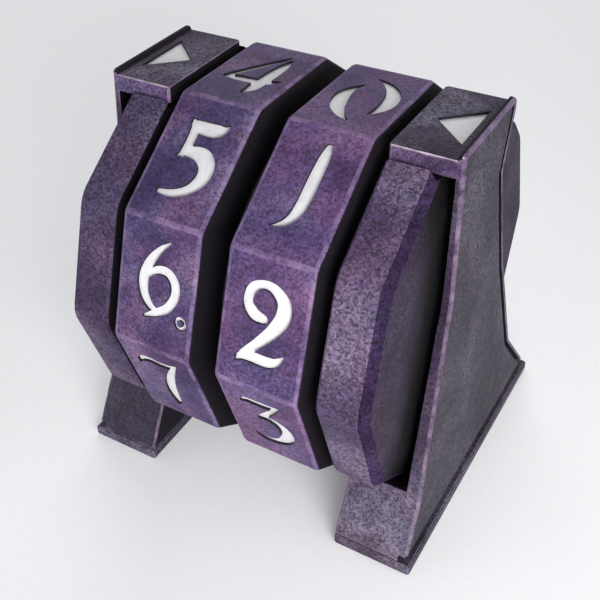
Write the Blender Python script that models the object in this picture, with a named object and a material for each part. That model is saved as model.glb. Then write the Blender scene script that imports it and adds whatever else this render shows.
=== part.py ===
"""Two-digit life counter: ten-sided digit wheels in an open stand.

Two digit wheels turn side by side on one steel axle. A fixed end cap with the same
ten sides stands outside each wheel. A waisted side frame holds each cap by the
bridge in its notch and the spigot in its socket, and both side frames are screwed
down on one base plate. Rings of small magnets in the wheels face a pair of magnets
in each cap and hold a wheel at each of its digits.

Metres. X is the axle and points to the units side, Y points to the back, Z is up.
The origin lies on the table, below the middle of the axle.
"""

import math

import bmesh
import bpy
from mathutils import Matrix, Vector

# Wheels and the gaps along the axle
FACES = 10
WHEEL_RADIUS = 0.0150
WHEEL_WIDTH = 0.0065
WHEEL_RIM_BEVEL = 0.00025
WHEEL_CORNER_RADIUS = 0.0007
WHEEL_CORNER_STEPS = 2
CENTRE_GAP = 0.0019
SIDE_GAP = 0.0009
GROUND_CLEARANCE = 0.0015

# Fits
SEAT_GAP = 0.0001
RUNNING_GAP = 0.0001
SHAFT_CLEARANCE = 0.00005
POCKET_CLEARANCE = 0.0003
CUT_OVERRUN = 0.0010

# End caps
CAP_STEP = 0.00045
CAP_BAND = 0.0030
CAP_CHAMFER_WIDTH = 0.0006
CAP_CHAMFER_DROP = 0.0008
CAP_BEVEL_WIDTH = 0.0004
CAP_BEVEL_DROP = 0.0020
CAP_RIM_BEVEL = 0.0002
CAP_CORNER_RADIUS = 0.0022
CAP_CORNER_STEPS = 3
SPIGOT_SIDE = 0.0058

# Side frames
WALL_THICKNESS = 0.00085
RECESS_WIDTH = 0.00055
BRIDGE_THICKNESS = 0.00125
RIM_HEIGHT = 0.00035
WALL_SPLAY = 0.0004
FRAME_BEVEL = 0.00018
SHADOW_GROOVE_HEIGHT = 0.0005
SHADOW_GROOVE_DEPTH = 0.0006
EDGE_BORDER = 0.00045
EDGE_GROOVE_WIDTH = 0.0006
EDGE_GROOVE_DEPTH = 0.0004
COLLAR_WALL = 0.0008
COLLAR_CLEARANCE = 0.0002

# Outline of a side frame from top to foot, as shares of the wheel radius (y, z)
FRONT_EDGE_SHARES = ((-0.32, 0.94), (-0.36, 0.28), (-0.63, -0.76))
BACK_EDGE_SHARES = ((0.57, -0.62), (0.33, 0.06), (0.19, 0.66), (0.29, 0.92))
FRONT_FOOT_SHARE = -0.78
BACK_FOOT_SHARE = 0.91

# Base plate
BASE_THICKNESS = 0.0009
BASE_PROUD = 0.0003
BASE_BEVEL = 0.00015
CROSSBAR_FRONT_SHARE = 0.42
RAIL_DEPTH = 0.0022
RAIL_HEIGHT = 0.0022

# Axle, bushes, washers and spacer
AXLE_RADIUS = 0.0020
AXLE_CHAMFER = 0.0003
AXLE_SEAT_DEPTH = 0.0021
BUSH_RADIUS = 0.0032
BUSH_MEETING_GAP = 0.0003
BUSH_FLANGE_RADIUS = 0.0046
BUSH_FLANGE_THICKNESS = 0.0006
BUSH_FLANGE_PROUD = 0.0001
WASHER_INSET = 0.0002
SPACER_RADIUS = 0.0118
SPACER_HUB_MARGIN = 0.0002
SPACER_WEB_RELIEF = 0.0003

# Screws on the axle
AXLE_SCREW_RADIUS = 0.00125
AXLE_SCREW_LENGTH = 0.0042
AXLE_SCREW_HEAD_RADIUS = 0.0022
AXLE_SCREW_HEAD_HEIGHT = 0.0013
AXLE_SCREW_SOCKET_RADIUS = 0.0010
AXLE_SCREW_SOCKET_DEPTH = 0.0007

# Screws in the base
BASE_SCREW_RADIUS = 0.0009
BASE_SCREW_LENGTH = 0.0030
BASE_SCREW_HEAD_RADIUS = 0.0017
BASE_SCREW_HEAD_HEIGHT = 0.0006
BASE_SCREW_SOCKET_RADIUS = 0.0006
BASE_SCREW_SOCKET_DEPTH = 0.0003
BASE_SCREW_SINK = 0.00005
BASE_SCREW_Y_SHARES = (-0.58, 0.60)

# Magnets
MAGNET_RADIUS = 0.0015
MAGNET_THICKNESS = 0.0015
MAGNET_RIM_WALL = 0.0025
CAP_MAGNET_FACES = (3, 7)

# Facets on round work
ROUND_SEGMENTS = 40
SMALL_SEGMENTS = 20
SMOOTH_ANGLE = math.radians(30)

# Places along the axle, from the middle of the counter outwards
wheel_inner = CENTRE_GAP / 2
wheel_outer = wheel_inner + WHEEL_WIDTH
cap_inner = wheel_outer + SIDE_GAP
cap_shoulder = cap_inner + CAP_BAND
cap_end = cap_shoulder + CAP_CHAMFER_WIDTH + CAP_BEVEL_WIDTH
wall_inner = cap_end + RECESS_WIDTH
wall_outer = wall_inner + WALL_THICKNESS
axle_end = cap_inner + AXLE_SEAT_DEPTH
head_seat = axle_end + SEAT_GAP

# Heights over the axle
half_face = math.pi / FACES
axle_height = WHEEL_RADIUS + GROUND_CLEARANCE
reading_plane = WHEEL_RADIUS * math.cos(half_face)
bridge_underside = reading_plane - BRIDGE_THICKNESS
rim_top = reading_plane + RIM_HEIGHT
cap_radius = WHEEL_RADIUS - CAP_STEP
magnet_pitch_radius = reading_plane - MAGNET_RIM_WALL - MAGNET_RADIUS
frame_bottom = BASE_THICKNESS + SEAT_GAP - axle_height
foot_outer = wall_outer + WALL_SPLAY


def clear_scene():
    for old in list(bpy.data.objects):
        bpy.data.objects.remove(old, do_unlink=True)


def make_material(name, colour, roughness, metallic):
    material = bpy.data.materials.new(name)
    material.use_nodes = True
    shader = material.node_tree.nodes["Principled BSDF"]
    shader.inputs["Base Color"].default_value = (*colour, 1.0)
    shader.inputs["Roughness"].default_value = roughness
    shader.inputs["Metallic"].default_value = metallic
    material.diffuse_color = (*colour, 1.0)
    return material


def make_empty(name, location):
    empty = bpy.data.objects.new(name, None)
    bpy.context.collection.objects.link(empty)
    empty.location = location
    return empty


def to_object(name, bm):
    """Close the bmesh with outward faces and put it in the scene as an object."""
    bmesh.ops.recalc_face_normals(bm, faces=bm.faces)
    mesh = bpy.data.meshes.new(name)
    bm.to_mesh(mesh)
    bm.free()
    made = bpy.data.objects.new(name, mesh)
    bpy.context.collection.objects.link(made)
    return made


def loft(name, sections):
    """A closed solid through sections with equally many points, flat at both ends."""
    bm = bmesh.new()
    rings = [[bm.verts.new(point) for point in section] for section in sections]
    for near, far in zip(rings, rings[1:]):
        count = len(near)
        for index in range(count):
            after = (index + 1) % count
            bm.faces.new((near[index], near[after], far[after], far[index]))
    bm.faces.new(rings[0])
    bm.faces.new(rings[-1])
    return to_object(name, bm)


def prism_x(name, outline, low, high):
    """An outline of (y, z) points, drawn out along X."""
    return loft(name, [[(x, y, z) for y, z in outline] for x in (low, high)])


def prism_z(name, outline, low, high):
    """An outline of (x, y) points, drawn out along Z."""
    return loft(name, [[(x, y, z) for x, y in outline] for z in (low, high)])


def block(name, low, high):
    outline = ((low[0], low[1]), (high[0], low[1]), (high[0], high[1]), (low[0], high[1]))
    return prism_z(name, outline, low[2], high[2])


def turned(name, profile, segments):
    """A profile of (x, radius) points, spun round the X axis.

    A profile that starts and ends on the axis gives a solid, and a closed loop
    off the axis gives a ring.
    """
    bm = bmesh.new()
    solid = profile[0][1] == 0 and profile[-1][1] == 0
    rings = []
    for x, radius in profile:
        if radius == 0:
            rings.append([bm.verts.new((x, 0, 0))])
            continue
        turns = [math.tau * index / segments for index in range(segments)]
        rings.append([bm.verts.new((x, radius * math.sin(a), radius * math.cos(a))) for a in turns])
    pairs = list(zip(rings, rings[1:]))
    if not solid:
        pairs.append((rings[-1], rings[0]))
    for near, far in pairs:
        for index in range(segments):
            after = (index + 1) % segments
            corners = [near[index % len(near)], near[after % len(near)]]
            corners += [far[after % len(far)], far[index % len(far)]]
            bm.faces.new(list(dict.fromkeys(corners)))
    return to_object(name, bm)


def pin(name, low, high, radius, segments):
    return turned(name, ((low, 0), (low, radius), (high, radius), (high, 0)), segments)


def washer(name, low, high, bore, radius, segments):
    profile = ((low, bore), (low, radius), (high, radius), (high, bore))
    return turned(name, profile, segments)


def combine(body, tool, operation):
    """Join the tool to the body or cut it away, then drop the tool."""
    modifier = body.modifiers.new(operation.lower(), "BOOLEAN")
    modifier.operation = operation
    modifier.solver = "EXACT"
    modifier.object = tool
    bpy.context.view_layer.update()
    evaluated = body.evaluated_get(bpy.context.evaluated_depsgraph_get())
    result = bpy.data.meshes.new_from_object(evaluated)
    body.modifiers.clear()
    old = body.data
    body.data = result
    bpy.data.meshes.remove(old)
    bpy.data.objects.remove(tool, do_unlink=True)


def cut(body, tool):
    combine(body, tool, "DIFFERENCE")


def join(body, tool):
    combine(body, tool, "UNION")


def shade(target):
    """Smooth shading on round stretches, with the true edges kept sharp."""
    target.data.shade_smooth()
    target.data.set_sharp_from_angle(angle=SMOOTH_ANGLE)


def finish(target, material, parent):
    target.data.materials.clear()
    target.data.materials.append(material)
    shade(target)
    target.parent = parent
    return target


def shared_mesh(source, material):
    """The finished mesh of a piece that is set in many places."""
    finish(source, material, None)
    mesh = source.data
    bpy.data.objects.remove(source, do_unlink=True)
    return mesh


def copy_half_round(source, name, parent):
    """Stand a second copy on the tens side, turned half round about Z."""
    copy = bpy.data.objects.new(name, source.data)
    bpy.context.collection.objects.link(copy)
    copy.rotation_euler.z = math.pi
    copy.parent = parent
    return copy


def faceted_ring(radius):
    """Corners of the ten-sided outline, flat side up, as (y, z) points."""
    turns = [half_face * (2 * index + 1) for index in range(FACES)]
    return [(radius * math.sin(a), radius * math.cos(a)) for a in turns]


def rounded_ring(radius, corner, steps):
    """The ten-sided outline with an arc of the given radius at each corner."""
    reach = radius - corner / math.cos(half_face)
    outline = []
    for index in range(FACES):
        middle = half_face * (2 * index + 1)
        for step in range(steps + 1):
            turn = middle + half_face * (2 * step / steps - 1)
            y = reach * math.sin(middle) + corner * math.sin(turn)
            z = reach * math.cos(middle) + corner * math.cos(turn)
            outline.append((y, z))
    return outline


def ringed_loft(name, stations, corner, steps):
    """A rounded ten-sided body through (x, radius) stations."""
    sections = []
    for x, radius in stations:
        sections.append([(x, y, z) for y, z in rounded_ring(radius, corner, steps)])
    return loft(name, sections)


def keyed_outline(radius, flat_height):
    """The ten-sided outline with its top cut level, as the pocket under the bridge."""
    outline = []
    ring = faceted_ring(radius)
    for (y, z), (next_y, next_z) in zip(ring, ring[1:] + ring[:1]):
        if z <= flat_height:
            outline.append((y, z))
        if (z - flat_height) * (next_z - flat_height) < 0:
            along = (flat_height - z) / (next_z - z)
            outline.append((y + along * (next_y - y), flat_height))
    return outline


def magnet_places(faces):
    """Centres of magnets behind the middles of the given faces, as (y, z) points."""
    turns = [2 * half_face * index for index in faces]
    return [(magnet_pitch_radius * math.sin(a), magnet_pitch_radius * math.cos(a)) for a in turns]


def magnet_pin(name, low, high, radius, place):
    made = pin(name, low, high, radius, SMALL_SEGMENTS)
    made.data.transform(Matrix.Translation((0, place[0], place[1])))
    return made


def make_digit_wheel(name, material, parent):
    bevel = WHEEL_RIM_BEVEL
    stations = (
        (wheel_inner, WHEEL_RADIUS - bevel),
        (wheel_inner + bevel, WHEEL_RADIUS),
        (wheel_outer - bevel, WHEEL_RADIUS),
        (wheel_outer, WHEEL_RADIUS - bevel),
    )
    wheel = ringed_loft(name, stations, WHEEL_CORNER_RADIUS, WHEEL_CORNER_STEPS)
    bore = BUSH_RADIUS + SHAFT_CLEARANCE
    cup = BUSH_FLANGE_RADIUS + SEAT_GAP
    depth = BUSH_FLANGE_THICKNESS - BUSH_FLANGE_PROUD + SEAT_GAP
    profile = (
        (wheel_inner - CUT_OVERRUN, 0),
        (wheel_inner - CUT_OVERRUN, cup),
        (wheel_inner + depth, cup),
        (wheel_inner + depth, bore),
        (wheel_outer - depth, bore),
        (wheel_outer - depth, cup),
        (wheel_outer + CUT_OVERRUN, cup),
        (wheel_outer + CUT_OVERRUN, 0),
    )
    cut(wheel, turned("bore", profile, ROUND_SEGMENTS))
    floor = wheel_outer - MAGNET_THICKNESS - 2 * SEAT_GAP
    for place in magnet_places(range(FACES)):
        hole_radius = MAGNET_RADIUS + SEAT_GAP
        cut(wheel, magnet_pin("hole", floor, wheel_outer + CUT_OVERRUN, hole_radius, place))
    return finish(wheel, material, parent)


def set_magnets(stem, side, middle, faces, mesh, parent):
    """One disc behind the middle of each given face, on the units or the tens side."""
    for number, (y, z) in enumerate(magnet_places(faces), start=1):
        magnet = bpy.data.objects.new(f"{stem}_{number}", mesh)
        bpy.context.collection.objects.link(magnet)
        magnet.location = (side * middle, side * y, z)
        magnet.parent = parent


def make_bush(name, outer_end, material, parent):
    """A flanged bush at the outer or the inner end of a wheel's bore."""
    flange_face = wheel_outer + BUSH_FLANGE_PROUD
    flange_back = flange_face - BUSH_FLANGE_THICKNESS
    tail = (wheel_inner + wheel_outer + BUSH_MEETING_GAP) / 2
    bore = AXLE_RADIUS + SHAFT_CLEARANCE
    profile = [
        (tail, bore),
        (tail, BUSH_RADIUS),
        (flange_back, BUSH_RADIUS),
        (flange_back, BUSH_FLANGE_RADIUS),
        (flange_face, BUSH_FLANGE_RADIUS),
        (flange_face, bore),
    ]
    if not outer_end:
        profile = [(wheel_inner + wheel_outer - x, radius) for x, radius in profile]
    return finish(turned(name, profile, ROUND_SEGMENTS), material, parent)


def make_end_cap(name, material, parent):
    """A fixed ten-sided cap with a notch for the bridge and a square spigot.

    The notch lies evenly about the middle, so the same cap fits either side.
    """
    flat = bridge_underside - POCKET_CLEARANCE
    bevel = CAP_RIM_BEVEL
    stations = (
        (cap_inner, cap_radius - bevel),
        (cap_inner + bevel, cap_radius),
        (cap_shoulder, cap_radius),
        (cap_shoulder + CAP_CHAMFER_WIDTH, cap_radius - CAP_CHAMFER_DROP),
        (cap_end, cap_radius - CAP_CHAMFER_DROP - CAP_BEVEL_DROP),
    )
    cap = ringed_loft(name, stations, CAP_CORNER_RADIUS, CAP_CORNER_STEPS)
    bridge_share = max(-FRONT_EDGE_SHARES[0][0], BACK_EDGE_SHARES[-1][0])
    notch_half = bridge_share * WHEEL_RADIUS + POCKET_CLEARANCE
    low = (cap_inner - CUT_OVERRUN, -notch_half, flat)
    high = (cap_end + CUT_OVERRUN, notch_half, WHEEL_RADIUS)
    cut(cap, block("notch", low, high))
    half = SPIGOT_SIDE / 2
    low = (cap_shoulder, -half, -half)
    high = (wall_inner - SEAT_GAP, half, half)
    join(cap, block("spigot", low, high))
    bore = AXLE_RADIUS + SHAFT_CLEARANCE
    head = AXLE_SCREW_HEAD_RADIUS + SEAT_GAP
    profile = (
        (cap_inner - CUT_OVERRUN, 0),
        (cap_inner - CUT_OVERRUN, bore),
        (head_seat, bore),
        (head_seat, head),
        (wall_inner + CUT_OVERRUN, head),
        (wall_inner + CUT_OVERRUN, 0),
    )
    cut(cap, turned("bore", profile, ROUND_SEGMENTS))
    floor = cap_inner + MAGNET_THICKNESS + 2 * SEAT_GAP
    for place in magnet_places(CAP_MAGNET_FACES):
        hole_radius = MAGNET_RADIUS + SEAT_GAP
        cut(cap, magnet_pin("hole", cap_inner - CUT_OVERRUN, floor, hole_radius, place))
    return finish(cap, material, parent)


def frame_outline():
    """The waisted side of the stand, from the top at the front round to the back."""
    front = [(y * WHEEL_RADIUS, z * WHEEL_RADIUS) for y, z in FRONT_EDGE_SHARES]
    back = [(y * WHEEL_RADIUS, z * WHEEL_RADIUS) for y, z in BACK_EDGE_SHARES]
    foot_front = (FRONT_FOOT_SHARE * WHEEL_RADIUS, frame_bottom)
    foot_back = (BACK_FOOT_SHARE * WHEEL_RADIUS, frame_bottom)
    top_back = (back[-1][0], rim_top)
    top_front = (front[0][0], rim_top)
    return [top_front, *front, foot_front, foot_back, *back, top_back]


def splayed_wall(z):
    """Outer face of the wall at a height over the axle: it leans out to the foot."""
    return wall_outer - WALL_SPLAY * z / axle_height


def edge_groove(name):
    """A narrow groove in the wall that follows its back edge at a border's distance."""
    back = [(y * WHEEL_RADIUS, z * WHEEL_RADIUS) for y, z in BACK_EDGE_SHARES]
    foot = (BACK_FOOT_SHARE * WHEEL_RADIUS, frame_bottom)
    edge = [foot, *back, (back[-1][0], reading_plane)]
    far = [(y - EDGE_BORDER, z) for y, z in edge]
    near = [(y - EDGE_BORDER - EDGE_GROOVE_WIDTH, z) for y, z in edge]
    outline = far + near[::-1]
    floor = [(splayed_wall(z) - EDGE_GROOVE_DEPTH, y, z) for y, z in outline]
    mouth = [(foot_outer + CUT_OVERRUN, y, z) for y, z in outline]
    return loft(name, (floor, mouth))


def make_side_frame(name, side, material, parent):
    """Outer wall, bridge over the cap, cradle and leg under it, in one piece."""
    outline = frame_outline()
    inner_section = [(cap_inner, y, z) for y, z in outline]
    outer_section = [(splayed_wall(z), y, z) for y, z in outline]
    frame = loft(name, (inner_section, outer_section))
    bevel = frame.modifiers.new("edges", "BEVEL")
    bevel.width = FRAME_BEVEL
    bevel.segments = 1
    bevel.limit_method = "ANGLE"
    bevel.angle_limit = SMOOTH_ANGLE
    half = SPIGOT_SIDE / 2 + COLLAR_CLEARANCE
    edge = half + COLLAR_WALL
    pocket = keyed_outline(cap_radius + POCKET_CLEARANCE, bridge_underside)
    cut(frame, prism_x("pocket", pocket, cap_inner - CUT_OVERRUN, wall_inner))
    low = (cap_inner - CUT_OVERRUN, -WHEEL_RADIUS, reading_plane)
    high = (wall_inner, WHEEL_RADIUS, WHEEL_RADIUS + CUT_OVERRUN)
    cut(frame, block("top_face", low, high))
    low = (cap_end + COLLAR_CLEARANCE, -edge, -edge)
    high = (wall_inner + WALL_THICKNESS / 2, edge, edge)
    join(frame, block("collar", low, high))
    low = (cap_end, -half, -half)
    high = (wall_inner, half, half)
    cut(frame, block("socket", low, high))
    groove_top = frame_bottom + SHADOW_GROOVE_HEIGHT
    low = (foot_outer - SHADOW_GROOVE_DEPTH, -WHEEL_RADIUS, frame_bottom - CUT_OVERRUN)
    high = (foot_outer + CUT_OVERRUN, WHEEL_RADIUS, groove_top)
    cut(frame, block("shadow_groove", low, high))
    cut(frame, edge_groove("edge_groove"))
    for x, y in base_screw_places(1):
        tip = BASE_SCREW_SINK + BASE_SCREW_HEAD_HEIGHT + BASE_SCREW_LENGTH + SEAT_GAP
        hole_radius = BASE_SCREW_RADIUS + SHAFT_CLEARANCE
        hole = pin("hole", -CUT_OVERRUN, tip, hole_radius, SMALL_SEGMENTS)
        stand_up(hole, (x, y, -axle_height))
        cut(frame, hole)
    if side < 0:
        frame.data.transform(Matrix.Scale(-1, 4, Vector((1, 0, 0))))
        frame.data.flip_normals()
    return finish(frame, material, parent)


def stand_up(target, foot):
    """Turn a piece spun about X so that it points up from its foot."""
    turn = Matrix.Rotation(-math.pi / 2, 4, "Y")
    target.data.transform(Matrix.Translation(foot) @ turn)


def base_screw_places(side):
    """Screw places under one leg, as (x, y) points."""
    x = side * (cap_inner + wall_inner) / 2
    return [(x, share * WHEEL_RADIUS) for share in BASE_SCREW_Y_SHARES]


def make_base_plate(name, material, parent):
    """Two runners under the legs and a bar across behind the wheels, open in front."""
    outer = foot_outer + BASE_PROUD
    front = FRONT_FOOT_SHARE * WHEEL_RADIUS
    back = BACK_FOOT_SHARE * WHEEL_RADIUS
    bar_front = CROSSBAR_FRONT_SHARE * WHEEL_RADIUS
    outline = (
        (-outer, front),
        (-cap_inner, front),
        (-cap_inner, bar_front),
        (cap_inner, bar_front),
        (cap_inner, front),
        (outer, front),
        (outer, back),
        (-outer, back),
    )
    plate = prism_z(name, outline, 0, BASE_THICKNESS)
    bevel = plate.modifiers.new("edges", "BEVEL")
    bevel.width = BASE_BEVEL
    bevel.segments = 1
    bevel.limit_method = "ANGLE"
    bevel.angle_limit = SMOOTH_ANGLE
    inset = BASE_BEVEL + SEAT_GAP
    rail_side = cap_inner - SEAT_GAP
    low = (-rail_side, back - inset - RAIL_DEPTH, BASE_THICKNESS / 2)
    high = (rail_side, back - inset, BASE_THICKNESS + RAIL_HEIGHT)
    join(plate, block("rail", low, high))
    cone_top = BASE_SCREW_SINK + BASE_SCREW_HEAD_HEIGHT
    profile = (
        (-CUT_OVERRUN, 0),
        (-CUT_OVERRUN, BASE_SCREW_HEAD_RADIUS + SEAT_GAP),
        (BASE_SCREW_SINK, BASE_SCREW_HEAD_RADIUS + SEAT_GAP),
        (cone_top, BASE_SCREW_RADIUS + SEAT_GAP),
        (BASE_THICKNESS + CUT_OVERRUN, BASE_SCREW_RADIUS + SEAT_GAP),
        (BASE_THICKNESS + CUT_OVERRUN, 0),
    )
    for side in (-1, 1):
        for x, y in base_screw_places(side):
            hole = turned("hole", profile, SMALL_SEGMENTS)
            stand_up(hole, (x, y, 0))
            cut(plate, hole)
    return finish(plate, material, parent)


def set_base_screws(material, parent):
    """Four countersunk screws, heads just inside the underside."""
    socket = BASE_SCREW_SINK + BASE_SCREW_SOCKET_DEPTH
    cone_top = BASE_SCREW_SINK + BASE_SCREW_HEAD_HEIGHT
    profile = (
        (socket, 0),
        (socket, BASE_SCREW_SOCKET_RADIUS),
        (BASE_SCREW_SINK, BASE_SCREW_SOCKET_RADIUS),
        (BASE_SCREW_SINK, BASE_SCREW_HEAD_RADIUS),
        (cone_top, BASE_SCREW_RADIUS),
        (cone_top + BASE_SCREW_LENGTH, BASE_SCREW_RADIUS),
        (cone_top + BASE_SCREW_LENGTH, 0),
    )
    mesh = shared_mesh(turned("base_screw", profile, SMALL_SEGMENTS), material)
    for side, side_name in ((1, "right"), (-1, "left")):
        for (x, y), end_name in zip(base_screw_places(side), ("front", "back")):
            screw = bpy.data.objects.new(f"base_screw_{side_name}_{end_name}", mesh)
            bpy.context.collection.objects.link(screw)
            screw.location = (x, y, 0)
            screw.rotation_euler.y = -math.pi / 2
            screw.parent = parent


def make_axle(name, material, parent):
    """A turned rod with chamfered ends, each tapped for a screw."""
    tip = axle_end - AXLE_CHAMFER
    tap = AXLE_SCREW_RADIUS + SHAFT_CLEARANCE
    tap_floor = head_seat - AXLE_SCREW_LENGTH
    half = [
        (tap_floor, 0),
        (tap_floor, tap),
        (axle_end, tap),
        (axle_end, AXLE_RADIUS - AXLE_CHAMFER),
        (tip, AXLE_RADIUS),
    ]
    profile = half + [(-x, radius) for x, radius in reversed(half)]
    return finish(turned(name, profile, ROUND_SEGMENTS), material, parent)


def make_axle_screw(name, material, parent):
    """The cap screw in the right end of the axle."""
    under_head = head_seat + SEAT_GAP
    top = under_head + AXLE_SCREW_HEAD_HEIGHT
    profile = (
        (head_seat - AXLE_SCREW_LENGTH + SEAT_GAP, 0),
        (head_seat - AXLE_SCREW_LENGTH + SEAT_GAP, AXLE_SCREW_RADIUS),
        (under_head, AXLE_SCREW_RADIUS),
        (under_head, AXLE_SCREW_HEAD_RADIUS),
        (top, AXLE_SCREW_HEAD_RADIUS),
        (top, AXLE_SCREW_SOCKET_RADIUS),
        (top - AXLE_SCREW_SOCKET_DEPTH, AXLE_SCREW_SOCKET_RADIUS),
        (top - AXLE_SCREW_SOCKET_DEPTH, 0),
    )
    return finish(turned(name, profile, SMALL_SEGMENTS), material, parent)


def make_thrust_washer(name, material, parent):
    low = wheel_outer + BUSH_FLANGE_PROUD + RUNNING_GAP
    bore = AXLE_RADIUS + SHAFT_CLEARANCE
    radius = BUSH_FLANGE_RADIUS - WASHER_INSET
    ring = washer(name, low, cap_inner - SEAT_GAP, bore, radius, ROUND_SEGMENTS)
    return finish(ring, material, parent)


def make_centre_spacer(name, material, parent):
    """A thin disc with a thicker hub that the inner bushes run against."""
    hub = wheel_inner - BUSH_FLANGE_PROUD - RUNNING_GAP
    web = hub - SPACER_WEB_RELIEF
    hub_radius = BUSH_FLANGE_RADIUS + SPACER_HUB_MARGIN
    half = [
        (-hub, AXLE_RADIUS + SHAFT_CLEARANCE),
        (-hub, hub_radius),
        (-web, hub_radius),
        (-web, SPACER_RADIUS),
    ]
    profile = half + [(-x, radius) for x, radius in reversed(half)]
    return finish(turned(name, profile, ROUND_SEGMENTS), material, parent)


def build():
    clear_scene()
    wheel_nylon = make_material("wheel_nylon", (0.125, 0.06, 0.25), 0.62, 0.0)
    cap_nylon = make_material("cap_nylon", (0.12, 0.085, 0.18), 0.66, 0.0)
    frame_nylon = make_material("frame_nylon", (0.14, 0.125, 0.17), 0.7, 0.0)
    black_acetal = make_material("black_acetal", (0.02, 0.02, 0.022), 0.45, 0.0)
    bronze = make_material("bearing_bronze", (0.55, 0.36, 0.14), 0.35, 1.0)
    steel = make_material("ground_steel", (0.6, 0.6, 0.62), 0.25, 1.0)
    screw_steel = make_material("black_steel", (0.05, 0.05, 0.055), 0.4, 1.0)
    nickel = make_material("nickel_plating", (0.66, 0.64, 0.6), 0.2, 1.0)

    stand = make_empty("stand", (0, 0, 0))
    barrel = make_empty("axle_line", (0, 0, axle_height))
    tens_axis = make_empty("tens_axis", (0, 0, axle_height))
    units_axis = make_empty("units_axis", (0, 0, axle_height))

    make_base_plate("base_plate", frame_nylon, stand)
    set_base_screws(screw_steel, stand)
    make_side_frame("right_side_frame", 1, frame_nylon, barrel)
    make_side_frame("left_side_frame", -1, frame_nylon, barrel)

    cap = make_end_cap("right_end_cap", cap_nylon, barrel)
    copy_half_round(cap, "left_end_cap", barrel)
    disc = pin("magnet", -MAGNET_THICKNESS / 2, MAGNET_THICKNESS / 2, MAGNET_RADIUS, SMALL_SEGMENTS)
    disc_mesh = shared_mesh(disc, nickel)
    middle = cap_inner + SEAT_GAP + MAGNET_THICKNESS / 2
    set_magnets("right_cap_magnet", 1, middle, CAP_MAGNET_FACES, disc_mesh, barrel)
    set_magnets("left_cap_magnet", -1, middle, CAP_MAGNET_FACES, disc_mesh, barrel)
    ring = make_thrust_washer("right_thrust_washer", black_acetal, barrel)
    copy_half_round(ring, "left_thrust_washer", barrel)
    make_axle("axle", steel, barrel)
    screw = make_axle_screw("right_axle_screw", screw_steel, barrel)
    copy_half_round(screw, "left_axle_screw", barrel)
    make_centre_spacer("centre_spacer", black_acetal, barrel)

    wheel = make_digit_wheel("units_wheel", wheel_nylon, units_axis)
    copy_half_round(wheel, "tens_wheel", tens_axis)
    middle = wheel_outer - SEAT_GAP - MAGNET_THICKNESS / 2
    set_magnets("units_wheel_magnet", 1, middle, range(FACES), disc_mesh, units_axis)
    set_magnets("tens_wheel_magnet", -1, middle, range(FACES), disc_mesh, tens_axis)
    for end in ("outer", "inner"):
        bush = make_bush(f"units_{end}_bush", end == "outer", bronze, units_axis)
        copy_half_round(bush, f"tens_{end}_bush", tens_axis)


build()
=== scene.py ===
"""Life counter, dressed: numbered wheels, speckled nylon, studio floor, light and camera."""

import math

import bmesh
import bpy
from mathutils import Matrix, Vector
from mathutils.geometry import delaunay_2d_cdt


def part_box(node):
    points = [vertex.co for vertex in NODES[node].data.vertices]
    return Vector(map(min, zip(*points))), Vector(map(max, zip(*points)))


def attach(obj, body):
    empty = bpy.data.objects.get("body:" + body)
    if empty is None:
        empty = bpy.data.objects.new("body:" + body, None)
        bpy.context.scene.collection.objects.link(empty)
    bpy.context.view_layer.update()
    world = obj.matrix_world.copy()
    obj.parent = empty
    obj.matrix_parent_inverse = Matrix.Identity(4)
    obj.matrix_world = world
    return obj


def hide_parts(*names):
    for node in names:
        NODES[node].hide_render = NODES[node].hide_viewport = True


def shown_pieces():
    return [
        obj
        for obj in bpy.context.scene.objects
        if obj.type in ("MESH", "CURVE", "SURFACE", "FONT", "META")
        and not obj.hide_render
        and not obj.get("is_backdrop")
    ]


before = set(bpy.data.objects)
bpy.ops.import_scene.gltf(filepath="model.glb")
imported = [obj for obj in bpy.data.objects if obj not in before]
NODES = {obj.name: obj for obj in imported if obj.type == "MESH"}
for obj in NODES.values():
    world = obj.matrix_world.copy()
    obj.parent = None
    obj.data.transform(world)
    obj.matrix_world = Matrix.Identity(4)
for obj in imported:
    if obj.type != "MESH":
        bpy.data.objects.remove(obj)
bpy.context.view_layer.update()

# Millimetres in a metre: lengths are in metres, and materials work in millimetres
MM = 1000.0

FACES = 10
HALF_FACE = math.pi / FACES

# Sizes that the frame gives
wheel_low, wheel_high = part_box("units_wheel")
BRIDGE_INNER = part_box("right_side_frame")[0].x
AXLE_Z = (wheel_low.z + wheel_high.z) / 2
READING_PLANE = (wheel_high.z - wheel_low.z) / 2
WHEEL_R = READING_PLANE / math.cos(HALF_FACE)
FACE_WIDTH = wheel_high.x - wheel_low.x
WHEEL_X = (wheel_high.x + wheel_low.x) / 2

# Cuts filled with white. Their cutters stand proud of the face by the overrun.
DIGIT_DEPTH = 0.00020
POINTER_DEPTH = 0.00022
POINTER_INSET = 0.00125
POINTER_LENGTH = 0.00275
POINTER_WIDTH = 0.0050
POINTER_Y = -0.0003
OVERRUN = 0.0003

# Roundings on true edges
WHEEL_EDGE = 0.00014
CAP_EDGE = 0.00014
FRAME_EDGE = 0.00006
BASE_EDGE = 0.00004

# Turns between neighbouring faces, in degrees: up to which they are one flat face, from which
# an edge of the barrel or the stand is rounded, and up to which shading is smooth
FLAT_TURN = 1.0
BARREL_TURN = 22.0
STAND_TURN = 30.0
SMOOTH_TURN = 32.0

# Points of the CAD's mesh that are nearer than this are one
SEAM = 2e-6

# Depth range of the frames' outer grooves under the wall's face, and the mean width up to
# which a face is one of the roundings
GROOVE_NEAR = 0.00030
GROOVE_FAR = 0.00070
NARROW = 0.00034

# Shares of the wheel's radius: the rim's inner limit, the bore's outer one, half the notch's width
RIM_SHARE = 0.80
BORE_SHARE = 0.3
NOTCH_SHARE = 0.345

# How far a normal may turn from the middle of one of the ten faces, as a share of a face
CORNER_SHARE = 0.14

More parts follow.
